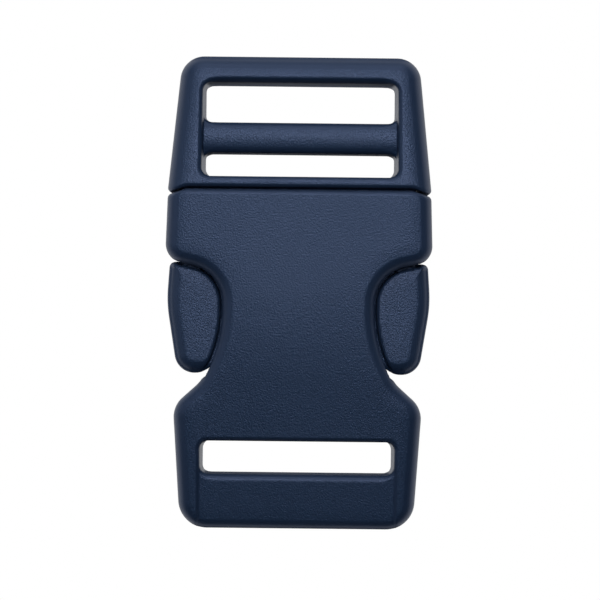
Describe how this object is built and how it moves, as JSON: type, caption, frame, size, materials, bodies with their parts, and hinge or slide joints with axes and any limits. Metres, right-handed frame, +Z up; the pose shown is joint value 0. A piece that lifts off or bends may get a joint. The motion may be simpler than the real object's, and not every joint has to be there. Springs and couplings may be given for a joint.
{
  "type": "side release buckle",
  "caption": "Fastened side release buckle for 25 mm webbing, with a ladder-lock plug frame, scooped socket, thumb pads and a strap slot, in satin navy plastic.",
  "frame": {"origin": "under the middle of the fastened buckle, on the surface that it rests on", "axes": "+X across the webbing, +Y along the webbing towards the plug's end, +Z up out of the top plate"},
  "size_m": [0.0352, 0.0626, 0.011],
  "materials": {
    "moulded_plastic": "satin with a fine spark-eroded grain on the faces and smooth rounded edges"
  },
  "bodies": {
    "root": {"socket": "moulded_plastic", "plug": "moulded_plastic"}
  },
  "joints": []
}
